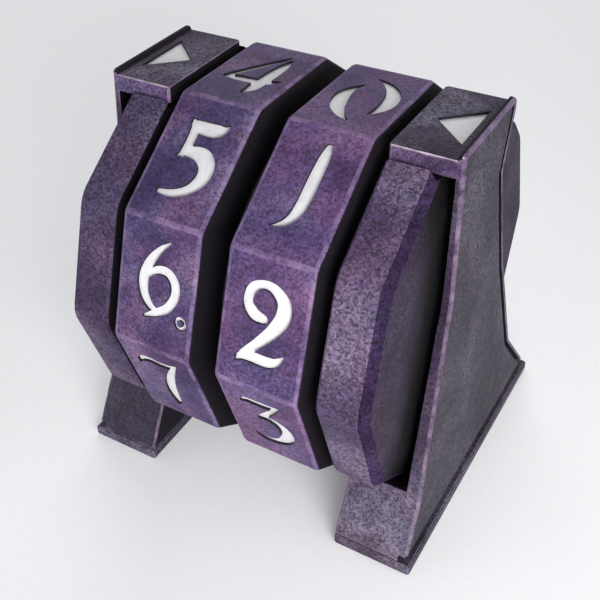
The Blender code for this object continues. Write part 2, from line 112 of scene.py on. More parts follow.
# Height over the axle above which lies the bridge's top, as a share of the reading plane's
TOP_SHARE = 0.97

# How much of a normal lies along an axis: nearly all of it, a good part, next to nothing
ALONG, LEANING, ACROSS = 0.9, 0.5, 0.1

# Slots of a skin. All have the first two: the dyed faces, and near-black painted shade where the light hardly
# reaches.
# Wheels and frames go on with edges lit in patches, wear and painted highlight together, caps with a chamfer
# and a recess in darker tones of painted shade, and frames have three more: front faces and top in tones of
# painted light and shade, and the top's front lip with a painted highlight.
PLAIN, DEEP_SHADE, WORN_AND_LIT = 0, 1, 2
CHAMFER, RECESS = 2, 3
FRONT, TOP, LIP = 3, 4, 5

# Slots of a cutter: the white fill, and the cut's walls in painted shade
FILL, CUT_WALL = 0, 1

# Heights in millimetres at which the front edges of the frames change tone: over the feet, to the tones of
# the wall's front strip, and at the bridge, which is lighter by the lift: painted light
FOOT_FADE = (5.5, 9.0)
BRIDGE_FADE = (29.2, 29.5)
BRIDGE_PAINTED_LIGHT = 2.0

# The side wall's edges as lines: slope, and place at the axle's height in millimetres
WALL_FRONT_LINES = ((0.061, -5.66), (0.260, -6.49))
WALL_BACK_LINES = ((-0.353, 5.27), (-0.233, 5.16))

# Distances from the wall, in millimetres, over which painted shade on a recess fades out, and the share of
# its colour left where that shade is deepest
RECESS_SHADE_FADE = (1.3, 4.2)
RECESS_SHADE_LEVEL = 0.06

# Numerals, as pen strokes on a face 300 wide and 428 high, y down: (x, y, half width)
CELL_W, CELL_H = 300, 428
NUMERALS = {
    0: (
        ((112, 132, 4), (92, 164, 13), (82, 206, 23), (88, 256, 27), (108, 306, 22), (140, 344, 12),
         (170, 362, 3)),
        ((140, 74, 4), (176, 92, 13), (212, 130, 21), (232, 182, 26), (234, 236, 23), (220, 280, 12),
         (208, 302, 3)),
    ),
    1: (
        ((172, 62, 12), (172, 92, 19), (170, 150, 22), (168, 220, 22), (162, 276, 20), (144, 312, 14),
         (120, 330, 8), (100, 338, 3)),
    ),
    2: (
        ((148, 196, 16), (114, 188, 22), (90, 158, 19), (97, 114, 17), (132, 90, 14), (174, 96, 19),
         (207, 130, 25), (207, 178, 26), (176, 232, 21), (130, 286, 16), (92, 328, 14), (72, 350, 4)),
        ((80, 338, 10), (120, 326, 18), (170, 326, 19), (204, 318, 15), (230, 292, 3)),
    ),
    3: (
        ((78, 106, 6), (98, 90, 15), (140, 88, 17), (180, 86, 15), (214, 74, 7)),
        ((212, 78, 6), (178, 122, 11), (142, 166, 12), (124, 184, 5)),
        ((126, 184, 6), (164, 174, 16), (204, 198, 23), (216, 246, 25), (194, 294, 20),
         (150, 322, 15), (108, 322, 13), (88, 306, 6)),
    ),
    4: (
        ((194, 66, 5), (160, 120, 11), (120, 184, 13), (78, 250, 12), (62, 272, 5)),
        ((64, 270, 9), (110, 268, 18), (170, 264, 19), (222, 256, 15), (252, 236, 4)),
        ((206, 84, 5), (204, 130, 18), (200, 190, 24), (196, 250, 25), (192, 310, 22), (178, 350, 6)),
    ),
    5: (
        ((92, 86, 5), (108, 100, 19), (150, 106, 24), (190, 104, 24), (212, 94, 15), (224, 78, 4)),
        ((110, 100, 18), (114, 150, 18), (110, 200, 16)),
        ((96, 210, 7), (126, 192, 19), (172, 192, 26), (207, 222, 29), (210, 268, 26), (182, 310, 19),
         (136, 334, 15), (88, 338, 9)),
    ),
    6: (
        ((190, 62, 3), (152, 94, 11), (118, 142, 18), (100, 196, 21), (107, 248, 19), (136, 286, 14),
         (172, 296, 7)),
        ((112, 192, 6), (146, 162, 13), (186, 158, 17), (216, 186, 19), (220, 230, 18),
         (196, 276, 16), (154, 304, 13), (114, 324, 4)),
    ),
    7: (
        ((66, 124, 4), (82, 98, 14), (116, 86, 17), (160, 92, 16), (204, 84, 13), (226, 66, 5)),
        ((218, 76, 7), (186, 140, 15), (162, 206, 21), (152, 272, 22), (154, 328, 16), (148, 350, 4)),
    ),
    8: (
        ((196, 92, 6), (160, 72, 12), (120, 86, 18), (106, 126, 21), (136, 168, 22), (186, 210, 25),
         (214, 262, 25), (200, 312, 19), (158, 342, 12), (120, 332, 8)),
        ((132, 340, 8), (96, 312, 15), (90, 262, 15), (118, 220, 10), (164, 184, 9), (198, 140, 14),
         (202, 106, 11), (184, 86, 6)),
    ),
}

# A 9 is a 6 turned over and raised by this much
TURNED_RISE = 20

# The small ring that tells a 6 from a 9: its middle, its radius and the pen's half width
RING_X, RING_Y, RING_RADIUS, RING_PEN = 252, 308, 17, 6
RING_STEPS = 8

# Steps between two points of a stroke and of the ring, and steps round a stroke's end
STROKE_STEPS = 6
RING_STROKE_STEPS = 3
END_STEPS = 6

# Least half width of the pen, and how near two points of an outline are when they are one
LEAST_PEN = 1.5
SAME_POINT = 1e-5


def turned_over(stroke):
    """The same stroke with the face turned upside down."""
    return tuple((CELL_W - x, CELL_H - y - TURNED_RISE, w) for x, y, w in stroke)


NUMERALS[9] = tuple(turned_over(stroke) for stroke in NUMERALS[6])


def between(a, b, c, d, t):
    """The value at a share t of the way from b to c, on a smooth run through all four."""
    bend = 2 * a - 5 * b + 4 * c - d
    twist = 3 * b - a - 3 * c + d
    return 0.5 * (2 * b + (c - a) * t + bend * t * t + twist * t ** 3)


def smooth_run(points, steps):
    """A smooth run through points of any dimension."""
    run = []
    last = len(points) - 1
    for i in range(last):
        near = points[max(i - 1, 0)], points[i], points[i + 1], points[min(i + 2, last)]
        for step in range(steps):
            run.append(tuple(between(*values, step / steps) for values in zip(*near)))
    run.append(tuple(points[-1]))
    return run


def round_end(end, direction):
    """The half circle that ends a stroke, without its first and last point."""
    x, y, w = end
    start = math.atan2(direction.x, -direction.y)
    turns = [start - math.pi * step / END_STEPS for step in range(1, END_STEPS)]
    return [(x + w * math.cos(t), y + w * math.sin(t)) for t in turns]


def stroke_outline(points, steps=STROKE_STEPS):
    """Outline of a pen stroke whose width changes along it, with round ends."""
    run = [(x, y, max(w, LEAST_PEN)) for x, y, w in smooth_run(points, steps)]
    directions = []
    for i in range(len(run)):
        before, after = run[max(i - 1, 0)], run[min(i + 1, len(run) - 1)]
        directions.append(Vector((after[0] - before[0], after[1] - before[1])).normalized())
    left = [(x - d.y * w, y + d.x * w) for (x, y, w), d in zip(run, directions)]
    right = [(x + d.y * w, y - d.x * w) for (x, y, w), d in zip(run, directions)]
    return left + round_end(run[-1], directions[-1]) + right[::-1] + round_end(run[0], -directions[0])


def covers(outline, x, y):
    """Whether a point lies inside an outline."""
    turns = 0
    for (ax, ay), (bx, by) in zip(outline, outline[1:] + outline[:1]):
        side = (bx - ax) * (y - ay) - (by - ay) * (x - ax)
        if ay <= y < by and side > 0:
            turns += 1
        elif by <= y < ay and side < 0:
            turns -= 1
    return turns != 0


def filled(outlines):
    """One flat mesh that covers all the outlines, overlaps joined and counters open."""
    points, loops = [], []
    for outline in outlines:
        loops.append(list(range(len(points), len(points) + len(outline))))
        points += [Vector(p) for p in outline]
    verts, _, faces, _, _, _ = delaunay_2d_cdt(points, [], loops, 0, SAME_POINT)
    kept = []
    for face in faces:
        x = sum(verts[i].x for i in face) / len(face)
        y = sum(verts[i].y for i in face) / len(face)
        if any(covers(outline, x, y) for outline in outlines):
            kept.append(list(face))
    return verts, kept


def half_ring(first):
    """Half of the small ring, from a numbered step of its turn."""
    turns = [-2 * math.pi * step / RING_STEPS for step in range(first, first + RING_STEPS // 2 + 1)]
    return [(RING_X + RING_RADIUS * math.cos(t), RING_Y + RING_RADIUS * math.sin(t), RING_PEN) for t in turns]


def numeral_outlines(digit):
    outlines = [stroke_outline(stroke) for stroke in NUMERALS[digit]]
    if digit in (6, 9):
        for first in (1, 1 + RING_STEPS // 2):
            outlines.append(stroke_outline(half_ring(first), RING_STROKE_STEPS))
    return outlines


class Graph:
    """A node tree, built from Python calls."""

    def __init__(self, tree):
        self.tree = tree

    def add(self, kind, **settings):
        node = self.tree.nodes.new(kind)
        for key, value in settings.items():
            setattr(node, key, value)
        return node

    def set(self, socket, value):
        if isinstance(value, bpy.types.NodeSocket):
            self.tree.links.new(value, socket)
        else:
            socket.default_value = value

    def coords(self, offset=(0.0, 0.0, 0.0)):
        """Object coordinates in millimetres."""
        source = self.add("ShaderNodeTexCoord").outputs["Object"]
        node = self.add("ShaderNodeVectorMath", operation="MULTIPLY_ADD")
        self.set(node.inputs[0], source)
        node.inputs[1].default_value = (MM, MM, MM)
        node.inputs[2].default_value = offset
        return node.outputs["Vector"]

    def place(self):
        """X, Y and Z of a point of the object, in millimetres."""
        part = self.add("ShaderNodeSeparateXYZ")
        self.set(part.inputs[0], self.coords())
        return part.outputs["X"], part.outputs["Y"], part.outputs["Z"]

    def math(self, operation, *values):
        node = self.add("ShaderNodeMath", operation=operation)
        for socket, value in zip(node.inputs, values):
            self.set(socket, value)
        return node.outputs["Value"]

    def weighed(self, a, share_of_a, b, share_of_b):
        """A share of one value plus a share of another."""
        return self.math("ADD", self.math("MULTIPLY", a, share_of_a), self.math("MULTIPLY", b, share_of_b))

    def noise(self, vector, scale, detail=2.0, roughness=0.5, distortion=0.0, dimensions="3D"):
        node = self.add("ShaderNodeTexNoise", noise_dimensions=dimensions)
        self.set(node.inputs["Vector"], vector)
        node.inputs["Scale"].default_value = scale
        node.inputs["Detail"].default_value = detail
        node.inputs["Roughness"].default_value = roughness
        node.inputs["Distortion"].default_value = distortion
        return node.outputs["Fac"]

    def cells(self, vector, scale):
        """A random number for each grain."""
        node = self.add("ShaderNodeTexVoronoi")
        self.set(node.inputs["Vector"], vector)
        node.inputs["Scale"].default_value = scale
        part = self.add("ShaderNodeSeparateColor")
        self.set(part.inputs[0], node.outputs["Color"])
        return part.outputs[0]

    def remap(self, value, low, high, to_low=0.0, to_high=1.0):
        node = self.add("ShaderNodeMapRange", clamp=True)
        self.set(node.inputs["Value"], value)
        node.inputs["From Min"].default_value = low
        node.inputs["From Max"].default_value = high
        node.inputs["To Min"].default_value = to_low
        node.inputs["To Max"].default_value = to_high
        return node.outputs["Result"]

    def ramp(self, value, *stops):
        node = self.add("ShaderNodeValToRGB")
        ramp = node.color_ramp
        for _ in stops[2:]:
            ramp.elements.new(0.5)
        for element, (place, colour) in zip(ramp.elements, stops):
            element.position = place
            element.color = (*colour, 1.0)
        self.set(node.inputs["Fac"], value)
        return node.outputs["Color"]

    def mix(self, factor, a, b, blend="MIX"):
        node = self.add("ShaderNodeMix", data_type="RGBA", blend_type=blend)
        self.set(node.inputs["Factor"], factor)
        for socket, value in ((node.inputs["A"], a), (node.inputs["B"], b)):
            self.set(socket, value if isinstance(value, bpy.types.NodeSocket) else (*value, 1.0))
        return node.outputs["Result"]

    def tinted(self, colour, level):
        """A colour times a brightness."""
        node = self.add("ShaderNodeVectorMath", operation="SCALE")
        self.set(node.inputs[0], colour)
        self.set(node.inputs["Scale"], level)
        return node.outputs["Vector"]

    def bump(self, height, distance, strength):
        node = self.add("ShaderNodeBump")
        node.inputs["Strength"].default_value = strength
        node.inputs["Distance"].default_value = distance
        self.set(node.inputs["Height"], height)
        return node.outputs["Normal"]

    def looked_at(self):
        """1 on what the camera sees, also in a mirror or through glass, and 0 elsewhere."""
        path = self.add("ShaderNodeLightPath").outputs
        direct = self.math("MAXIMUM", path["Is Camera Ray"], path["Is Glossy Ray"])
        return self.math("MAXIMUM", direct, path["Is Transmission Ray"])


class Coat(Graph):
    """A material."""

    def __init__(self, name):
        self.material = bpy.data.materials.new(name)
        self.material.use_nodes = True
        super().__init__(self.material.node_tree)
        self.shader = self.tree.nodes["Principled BSDF"]

    def finish(self, colour, roughness, normal=None, metallic=0.0, specular=0.5):
        self.set(self.shader.inputs["Base Color"], colour)
        self.set(self.shader.inputs["Roughness"], roughness)
        self.shader.inputs["Metallic"].default_value = metallic
        self.shader.inputs["Specular IOR Level"].default_value = specular
        if normal is not None:
            self.set(self.shader.inputs["Normal"], normal)
        return self.material


# Dark, middle and light tones of each surface, and where they lie in the cloud noise. Where one nylon gets
# several sets, they differ by painted light and shade, as said at each.
TONE_STOPS = (0.36, 0.50, 0.64)
UNITS_TONES = ((0.0313, 0.0159, 0.0534), (0.0637, 0.0368, 0.0925), (0.1031, 0.0646, 0.1234))
# The tens wheel: the same nylon as the units wheel, darker by painted shade
TENS_TONES = ((0.0208, 0.0113, 0.0406), (0.0487, 0.0297, 0.0787), (0.1069, 0.0751, 0.1311))
CAP_TONES = ((0.0205, 0.012, 0.032), (0.041, 0.027, 0.0539), (0.0718, 0.0522, 0.0818))
# The cap's chamfer and recessed end: the cap's nylon in darker tones, painted shade
CHAMFER_TONES = ((0.0072, 0.0037, 0.0137), (0.0129, 0.0066, 0.0226), (0.0227, 0.0132, 0.0355))
CONE_TONES = ((0.0114, 0.0069, 0.0157), (0.0196, 0.0133, 0.0254), (0.0303, 0.0228, 0.0374))
# One frame nylon in tones by the way its faces turn, painted light and shade: grey wall, lighter purple front
# faces, and a darker strip on the wall's front edge
WALL_TONES = ((0.0097, 0.0083, 0.0124), (0.0163, 0.0142, 0.0206), (0.0273, 0.0243, 0.033))
FRONT_TONES = ((0.036, 0.0264, 0.0456), (0.0671, 0.0539, 0.0814), (0.109, 0.0923, 0.1258))
STRIP_TONES = ((0.0139, 0.0074, 0.021), (0.0268, 0.017, 0.0359), (0.0462, 0.0341, 0.0552))
# Left frame's front: darker than the right's, painted shade. Its front strip: lighter than the right's,
# painted light.
SHADED_FRONT_TONES = ((0.0083, 0.0062, 0.0133), (0.0165, 0.0127, 0.0233), (0.0305, 0.0247, 0.0385))
LEFT_LIT_STRIP_TONES = ((0.0166, 0.0096, 0.0287), (0.0346, 0.023, 0.0512), (0.064, 0.0474, 0.0824))
# Right frame's top: darker than the front faces, painted shade
TOP_TONES = ((0.009, 0.0057, 0.0127), (0.0234, 0.0179, 0.0311), (0.0577, 0.0488, 0.0703))
# Left cap: darker than the right, painted shade. Left frame's top: lighter than the right's, painted light.
SHADED_CAP_TONES = ((0.0165, 0.0096, 0.0277), (0.0329, 0.0217, 0.0466), (0.0577, 0.042, 0.0708))
LEFT_LIT_TOP_TONES = ((0.0136, 0.0092, 0.0187), (0.0355, 0.0289, 0.0458), (0.0876, 0.0789, 0.1035))

# Scales of the nylon's patterns per millimetre, from slow clouds to the fine grain, and the
# height of that grain in metres
CLOUD_SCALE = 0.17
HUE_SCALE = 0.22
PATCH_SCALE = 0.85
WEAR_SCALE = 0.9
GRAIN_SCALE = 4.6
CELL_SCALE = 6.5
FINE_SCALE = 9.5
GRAIN_HEIGHT = 0.000045

# Colours laid over edges in patches, wear and painted highlight together, brightest on the bridge's front
# lip; and the two hues that drift over the dye
WEAR_AND_HIGHLIGHT_PURPLE = (0.30, 0.20, 0.36)
WEAR_AND_HIGHLIGHT_PINK = (0.30, 0.21, 0.31)
LIP_HIGHLIGHT_PINK = (0.70, 0.54, 0.64)
COOL = (0.66, 0.86, 1.0)
WARM = (1.06, 0.78, 0.90)

# Places in the noise, which pick the clouds of each part
UNITS_CLOUDS = 36.2
TENS_CLOUDS = 33.6
RIGHT_CAP_CLOUDS = 48.6
LEFT_CAP_CLOUDS = 50.5
FRAME_CLOUDS = 3.0


def dyed(g, tone, tones):
    """The dark, middle and light tones laid over a pattern."""
    return g.ramp(tone, *zip(TONE_STOPS, tones))


def clear_of_wall(g):
    """Distance in millimetres in front of or behind the side wall's outline."""
    _, across, height = g.place()
    up = g.math("SUBTRACT", height, AXLE_Z * MM)
    front = [g.math("MULTIPLY_ADD", up, slope, at) for slope, at in WALL_FRONT_LINES]
    back = [g.math("MULTIPLY_ADD", up, slope, at) for slope, at in WALL_BACK_LINES]
    ahead = g.math("SUBTRACT", g.math("MINIMUM", *front), across)
    behind = g.math("SUBTRACT", across, g.math("MAXIMUM", *back))
    return g.math("MAXIMUM", ahead, behind)


def sintered_nylon(
    name, tones, clouds, drift=0.6, speck=0.95, gloss=0.27,
    wear_and_highlight=None, wear_and_highlight_share=(0.05, 0.55), recessed=False, above=None,
):
    """Dyed sintered nylon: slow clouds of tone and hue under a fine soft grain.

    Drift is the share of the hues, and speck the contrast of the grain. An edge colour, if there is one,
    lies over it in patches, between the two shares given: wear and painted highlight together. A surface
    shaded by the wall turns black close to the side wall: painted shade. Above the feet the tones change to
    the second set, if there is one, and grow lighter on the bridge: painted light and shade.
    """
    g = Coat(name)
    mm = g.coords(offset=(clouds * 3.1, clouds * 1.7, clouds * 2.3))
    slow = g.noise(mm, CLOUD_SCALE, 2.0, 0.5, 0.6)
    patch = g.noise(mm, PATCH_SCALE, 3.0, 0.6, 0.2)
    tone = g.weighed(slow, 0.70, patch, 0.30)
    colour = dyed(g, tone, tones)
    # Painted light and shade: the strip's tones above the feet, lighter on the bridge
    if above:
        height = g.place()[2]
        colour = g.mix(g.remap(height, *FOOT_FADE), colour, dyed(g, tone, above))
        colour = g.tinted(colour, g.remap(height, *BRIDGE_FADE, 1.0, BRIDGE_PAINTED_LIGHT))
    elsewhere = g.coords(offset=(clouds * 5.3, -clouds * 2.9, clouds * 4.1))
    hue = g.ramp(g.noise(elsewhere, HUE_SCALE, 2.0, 0.5, 0.4), (0.40, COOL), (0.60, WARM))
    colour = g.mix(drift, colour, hue, "MULTIPLY")
    grain = g.noise(mm, GRAIN_SCALE, 2.0, 0.65)
    fine = g.noise(mm, FINE_SCALE, 2.0, 0.65)
    soft = g.weighed(grain, 0.42, fine, 0.30)
    speckle = g.math("MULTIPLY_ADD", g.cells(mm, CELL_SCALE), 0.28, soft)
    darkest, lightest = 1.0 / (1.0 + 0.7 * speck), 1.0 + 1.3 * speck
    colour = g.tinted(colour, g.remap(speckle, 0.33, 0.69, darkest, lightest))
    # Wear and painted highlight on edges, in patches
    if wear_and_highlight:
        wear_and_highlight_mask = g.remap(g.noise(mm, WEAR_SCALE, 4.0, 0.65), 0.38, 0.64, *wear_and_highlight_share)
        colour = g.mix(wear_and_highlight_mask, colour, wear_and_highlight)
    # Painted shade: a recess darkens towards the side wall
    if recessed:
        colour = g.tinted(colour, g.remap(clear_of_wall(g), *RECESS_SHADE_FADE, RECESS_SHADE_LEVEL, 1.0))
    normal = g.bump(g.weighed(fine, 0.40, grain, 0.60), GRAIN_HEIGHT, 0.75)
    return g.finish(colour, g.remap(patch, 0.3, 0.7, 0.60, 0.78), normal, specular=gloss)


def paint(name):
    """White infill paint on the floor of a cut, with faint streaks and dust."""
    g = Coat(name)
    mm = g.coords()
    streak = g.noise(mm, 1.5, 3.0, 0.6, 0.4)
    dust = g.noise(mm, 7.0, 3.0, 0.7)
    colour = g.ramp(
        streak,
        (0.30, (0.62, 0.605, 0.635)), (0.50, (0.70, 0.69, 0.71)), (0.75, (0.74, 0.735, 0.745)),
    )
    colour = g.mix(g.remap(dust, 0.64, 0.82, 0.0, 0.35), colour, (0.40, 0.35, 0.46))
    return g.finish(colour, g.remap(streak, 0.3, 0.7, 0.40, 0.54), g.bump(dust, 0.00002, 0.6), specular=0.35)


def shade_nylon(name, level):
    """Near black with a fine grain: painted shade on sides, grooves and cut walls that the light hardly
    reaches.
    """
    g = Coat(name)
    grain = g.noise(g.coords(), 5.0, 3.0, 0.7)
    low = (0.35 * level, 0.28 * level, 0.42 * level)
    high = (1.1 * level, 0.92 * level, 1.3 * level)
    colour = g.ramp(grain, (0.32, low), (0.68, high))
    return g.finish(colour, g.remap(grain, 0.3, 0.7, 0.70, 0.84), g.bump(grain, 0.00003, 0.7), specular=0.12)


def moulded_black(name):
    """Smooth black plastic."""
    g = Coat(name)
    grain = g.noise(g.coords(), 6.0, 3.0, 0.6)
    colour = g.ramp(grain, (0.3, (0.010, 0.010, 0.012)), (0.7, (0.024, 0.023, 0.027)))
    return g.finish(colour, g.remap(grain, 0.3, 0.7, 0.42, 0.6), g.bump(grain, 0.00001, 0.5), specular=0.3)


def turned_metal(name, dark, light, roughness, pitch):
    """Metal with fine turning marks round the X axis and a few stains."""
    g = Coat(name)
    along, across, height = g.place()
    up = g.math("SUBTRACT", height, AXLE_Z * MM)
    squares = g.math("ADD", g.math("MULTIPLY", across, across), g.math("MULTIPLY", up, up))
    pair = g.add("ShaderNodeCombineXYZ")
    g.set(pair.inputs["X"], g.math("MULTIPLY", g.math("SQRT", squares), pitch))
    g.set(pair.inputs["Y"], g.math("MULTIPLY", along, pitch))
    marks = g.noise(pair.outputs["Vector"], 1.0, dimensions="2D")
    stain = g.noise(g.coords(), 0.8, 4.0, 0.6)
    tone = g.weighed(marks, 0.5, stain, 0.5)
    colour = g.ramp(tone, (0.35, dark), (0.62, light))
    rough = g.remap(tone, 0.3, 0.7, roughness + 0.12, roughness)
    return g.finish(colour, rough, g.bump(marks, 0.000008, 0.7), metallic=1.0)


# Painted shade: near black in gaps, bores, notches, grooves and on inner faces, and a little lighter on the
# walls of the numerals' cuts
SHADE_BLACK = shade_nylon("painted_shade_black", 0.012)
WHITE = paint("white_infill")
CUT_WALL_SHADE = shade_nylon("cut_wall", 0.030)


def wheel_skin(name, tones, clouds):
    """Dyed faces, near-black painted shade on the sides, and corners lit in patches: wear and painted
    highlight.
    """
    return [
        sintered_nylon(name, tones, clouds),
        SHADE_BLACK,
        sintered_nylon(name + "_edge", tones, clouds, wear_and_highlight=WEAR_AND_HIGHLIGHT_PURPLE),
    ]


def cap_skin(side, tones, clouds):
    """Dyed faces, near-black painted shade on the inner end, and a chamfer and recessed outer end in darker
    tones: painted shade.
    """
    name = side + "_cap_nylon"
    return [
        sintered_nylon(name, tones, clouds, drift=0.35, speck=1.8),
        SHADE_BLACK,
        sintered_nylon(name + "_chamfer", CHAMFER_TONES, clouds, drift=0.35, speck=1.25, gloss=0.10),
        sintered_nylon(name + "_recess", CONE_TONES, clouds, drift=0.20, gloss=0.20, recessed=True),
    ]


def frame_skin(side, front, strip, top):
    """Grey wall, near-black painted shade on the inner faces, chamfers lit in patches by wear and painted
    highlight, front faces, top, and the top's front lip with a painted highlight. Front faces and top are
    tones of painted light and shade.
    """
    name = side + "_frame_nylon"
    edge = {"drift": 0.30, "speck": 1.2, "above": strip}
    # The lip's edge colour is a painted highlight
    lip = {"drift": 0.20, "wear_and_highlight": LIP_HIGHLIGHT_PINK, "wear_and_highlight_share": (0.45, 0.95)}
    return [
        sintered_nylon(name, WALL_TONES, FRAME_CLOUDS, drift=0.15, speck=2.6),
        SHADE_BLACK,
        sintered_nylon(name + "_edge", front, FRAME_CLOUDS, wear_and_highlight=WEAR_AND_HIGHLIGHT_PINK, **edge),
        sintered_nylon(name + "_front", front, FRAME_CLOUDS, **edge),
        sintered_nylon(name + "_top", top, FRAME_CLOUDS, drift=0.20, speck=2.2, gloss=0.16),
        sintered_nylon(name + "_lip", front, FRAME_CLOUDS, **lip),
    ]


UNITS_SKIN = wheel_skin("wheel_nylon", UNITS_TONES, UNITS_CLOUDS)
TENS_SKIN = wheel_skin("wheel_nylon_shaded", TENS_TONES, TENS_CLOUDS)
RIGHT_CAP_SKIN = cap_skin("right", CAP_TONES, RIGHT_CAP_CLOUDS)
LEFT_CAP_SKIN = cap_skin("left", SHADED_CAP_TONES, LEFT_CAP_CLOUDS)
RIGHT_FRAME_SKIN = frame_skin("right", FRONT_TONES, STRIP_TONES, TOP_TONES)
LEFT_FRAME_SKIN = frame_skin("left", SHADED_FRONT_TONES, LEFT_LIT_STRIP_TONES, LEFT_LIT_TOP_TONES)

# What each material of the CAD becomes
CARRIED_OVER = {
    "wheel_nylon": UNITS_SKIN[PLAIN],
    "cap_nylon": RIGHT_CAP_SKIN[PLAIN],
    "frame_nylon": RIGHT_FRAME_SKIN[PLAIN],
    "bearing_bronze": turned_metal("bearing_bronze", (0.30, 0.17, 0.07), (0.62, 0.40, 0.19), 0.30, 14.0),
    "ground_steel": turned_metal("ground_steel", (0.38, 0.38, 0.40), (0.66, 0.66, 0.68), 0.20, 18.0),
    "black_steel": turned_metal("black_steel", (0.018, 0.018, 0.020), (0.060, 0.059, 0.062), 0.38, 10.0),
    "nickel_plating": turned_metal("nickel_plating", (0.45, 0.43, 0.40), (0.70, 0.68, 0.64), 0.16, 8.0),
    "black_acetal": moulded_black("black_acetal"),
}


def clean_copy(node):
    """The CAD node's shape with its seams closed and flat faces whole."""
    bm = bmesh.new()
    bm.from_mesh(NODES[node].data)
    bmesh.ops.remove_doubles(bm, verts=bm.verts, dist=SEAM)
    bmesh.ops.dissolve_limit(bm, angle_limit=math.radians(FLAT_TURN), verts=bm.verts, edges=bm.edges)
    bmesh.ops.recalc_face_normals(bm, faces=bm.faces)
    for face in bm.faces:
        face.material_index = PLAIN
    return bm


def soften(bm, width, turn, keep=lambda edge: True, slot=WORN_AND_LIT):
    """Chamfer the edges that turn by more than this, and put what is cut in a slot."""
    limit = math.radians(turn)
    picked = [e for e in bm.edges if len(e.link_faces) == 2 and e.calc_face_angle(0.0) > limit and keep(e)]
    bmesh.ops.bevel(
        bm, geom=picked, offset=width, offset_type="OFFSET", segments=1,
        profile=0.5, affect="EDGES", clamp_overlap=True, material=slot,
    )
    bm.normal_update()


def to_piece(name, bm, materials):
    mesh = bpy.data.meshes.new(name)
    bm.to_mesh(mesh)
    bm.free()
    for material in materials:
        mesh.materials.append(material)
    piece = bpy.data.objects.new(name, mesh)
    bpy.context.scene.collection.objects.link(piece)
    return piece


def baked(piece):
    """Put the piece's modifiers into its mesh."""
    bpy.context.view_layer.update()
    evaluated = piece.evaluated_get(bpy.context.evaluated_depsgraph_get())
    result = bpy.data.meshes.new_from_object(evaluated)
    piece.modifiers.clear()
    piece.data = result


def shade(piece):
    """Smooth over the roundings, with the flats kept flat and true edges sharp."""
    mesh = piece.data
    mesh.shade_smooth()
    near = math.cos(math.radians(SMOOTH_TURN))
    around = [[] for _ in mesh.vertices]
    for face in mesh.polygons:
        entry = (face.normal.copy(), face.area)
        for vertex in face.vertices:
            around[vertex].append(entry)
    normals = [Vector()] * len(mesh.loops)
    for face in mesh.polygons:
        facing = face.normal.copy()
        for loop, vertex in zip(face.loop_indices, face.vertices):
            total = Vector()
            for normal, area in around[vertex]:
                if normal.dot(facing) > near:
                    total += normal * area
            normals[loop] = total.normalized() if total.length > 0 else facing
    mesh.normals_split_custom_set(normals)


def carve(piece, cutter):
    """Cut the cutter away, and keep the materials that line the cut."""
    modifier = piece.modifiers.new("carve", "BOOLEAN")
    modifier.operation = "DIFFERENCE"
    modifier.solver = "EXACT"
    modifier.material_mode = "TRANSFER"
    modifier.object = cutter
    baked(piece)
    bpy.data.objects.remove(cutter, do_unlink=True)


def cutter_from(flat_pieces):
    """One mesh of closed prisms. Each entry: (verts, faces, matrix, depth)."""
    bm = bmesh.new()
    for verts, faces, matrix, depth in flat_pieces:
        tops = [bm.verts.new(matrix @ Vector((v.x, v.y, OVERRUN))) for v in verts]
        floors = [bm.verts.new(matrix @ Vector((v.x, v.y, -depth))) for v in verts]
        count = {}
        for face in faces:
            bm.faces.new([tops[i] for i in face]).material_index = CUT_WALL
            bm.faces.new([floors[i] for i in reversed(face)]).material_index = FILL
            for a, b in zip(face, face[1:] + face[:1]):
                count[frozenset((a, b))] = count.get(frozenset((a, b)), 0) + 1
        for face in faces:
            for a, b in zip(face, face[1:] + face[:1]):
                if count[frozenset((a, b))] == 1:
                    bm.faces.new((tops[b], tops[a], floors[a], floors[b])).material_index = CUT_WALL
    bmesh.ops.recalc_face_normals(bm, faces=bm.faces)
    return to_piece("cutter", bm, [WHITE, CUT_WALL_SHADE])


FILLS = {digit: filled(numeral_outlines(digit)) for digit in NUMERALS}


def numeral_cutter(middle_x, top_digit):
    """All ten numerals round a wheel. The digit rises by one from face to face downwards in front."""
    entries = []
    unit = FACE_WIDTH / CELL_W
    for index in range(FACES):
        verts, faces = FILLS[(top_digit + index) % FACES]
        flat = [Vector(((v.x - CELL_W / 2) * unit, (CELL_H / 2 - v.y) * unit)) for v in verts]
        turned = Matrix.Rotation(2 * HALF_FACE * index, 4, "X")
        place = Matrix.Translation((middle_x, 0, AXLE_Z)) @ turned @ Matrix.Translation((0, 0, READING_PLANE))
        entries.append((flat, faces, place, DIGIT_DEPTH))
    return cutter_from(entries)


def pointer_cutter(side):
    """The arrow in the bridge that points at the wheels."""
    tip = BRIDGE_INNER + POINTER_INSET
    base = tip + POINTER_LENGTH
    corners = [(tip, POINTER_Y), (base, POINTER_Y - POINTER_WIDTH / 2), (base, POINTER_Y + POINTER_WIDTH / 2)]
    verts = [Vector((side * x, y)) for x, y in corners]
    loop = [0, 1, 2] if side > 0 else [0, 2, 1]
    return cutter_from([(verts, [loop], Matrix.Translation((0, 0, AXLE_Z + READING_PLANE)), POINTER_DEPTH)])


def from_axle(point):
    return math.hypot(point.y, point.z - AXLE_Z)


def on_the_rim(edge):
    """An edge on the outside of a wheel or cap, not in its bore or magnet holes."""
    return all(from_axle(v.co) > WHEEL_R * RIM_SHARE for v in edge.verts)


def on_a_corner(normal):
    """Whether a normal points between two of the ten faces."""
    turn = math.atan2(normal.y, normal.z) / (2 * HALF_FACE)
    return abs(turn - round(turn)) > CORNER_SHARE


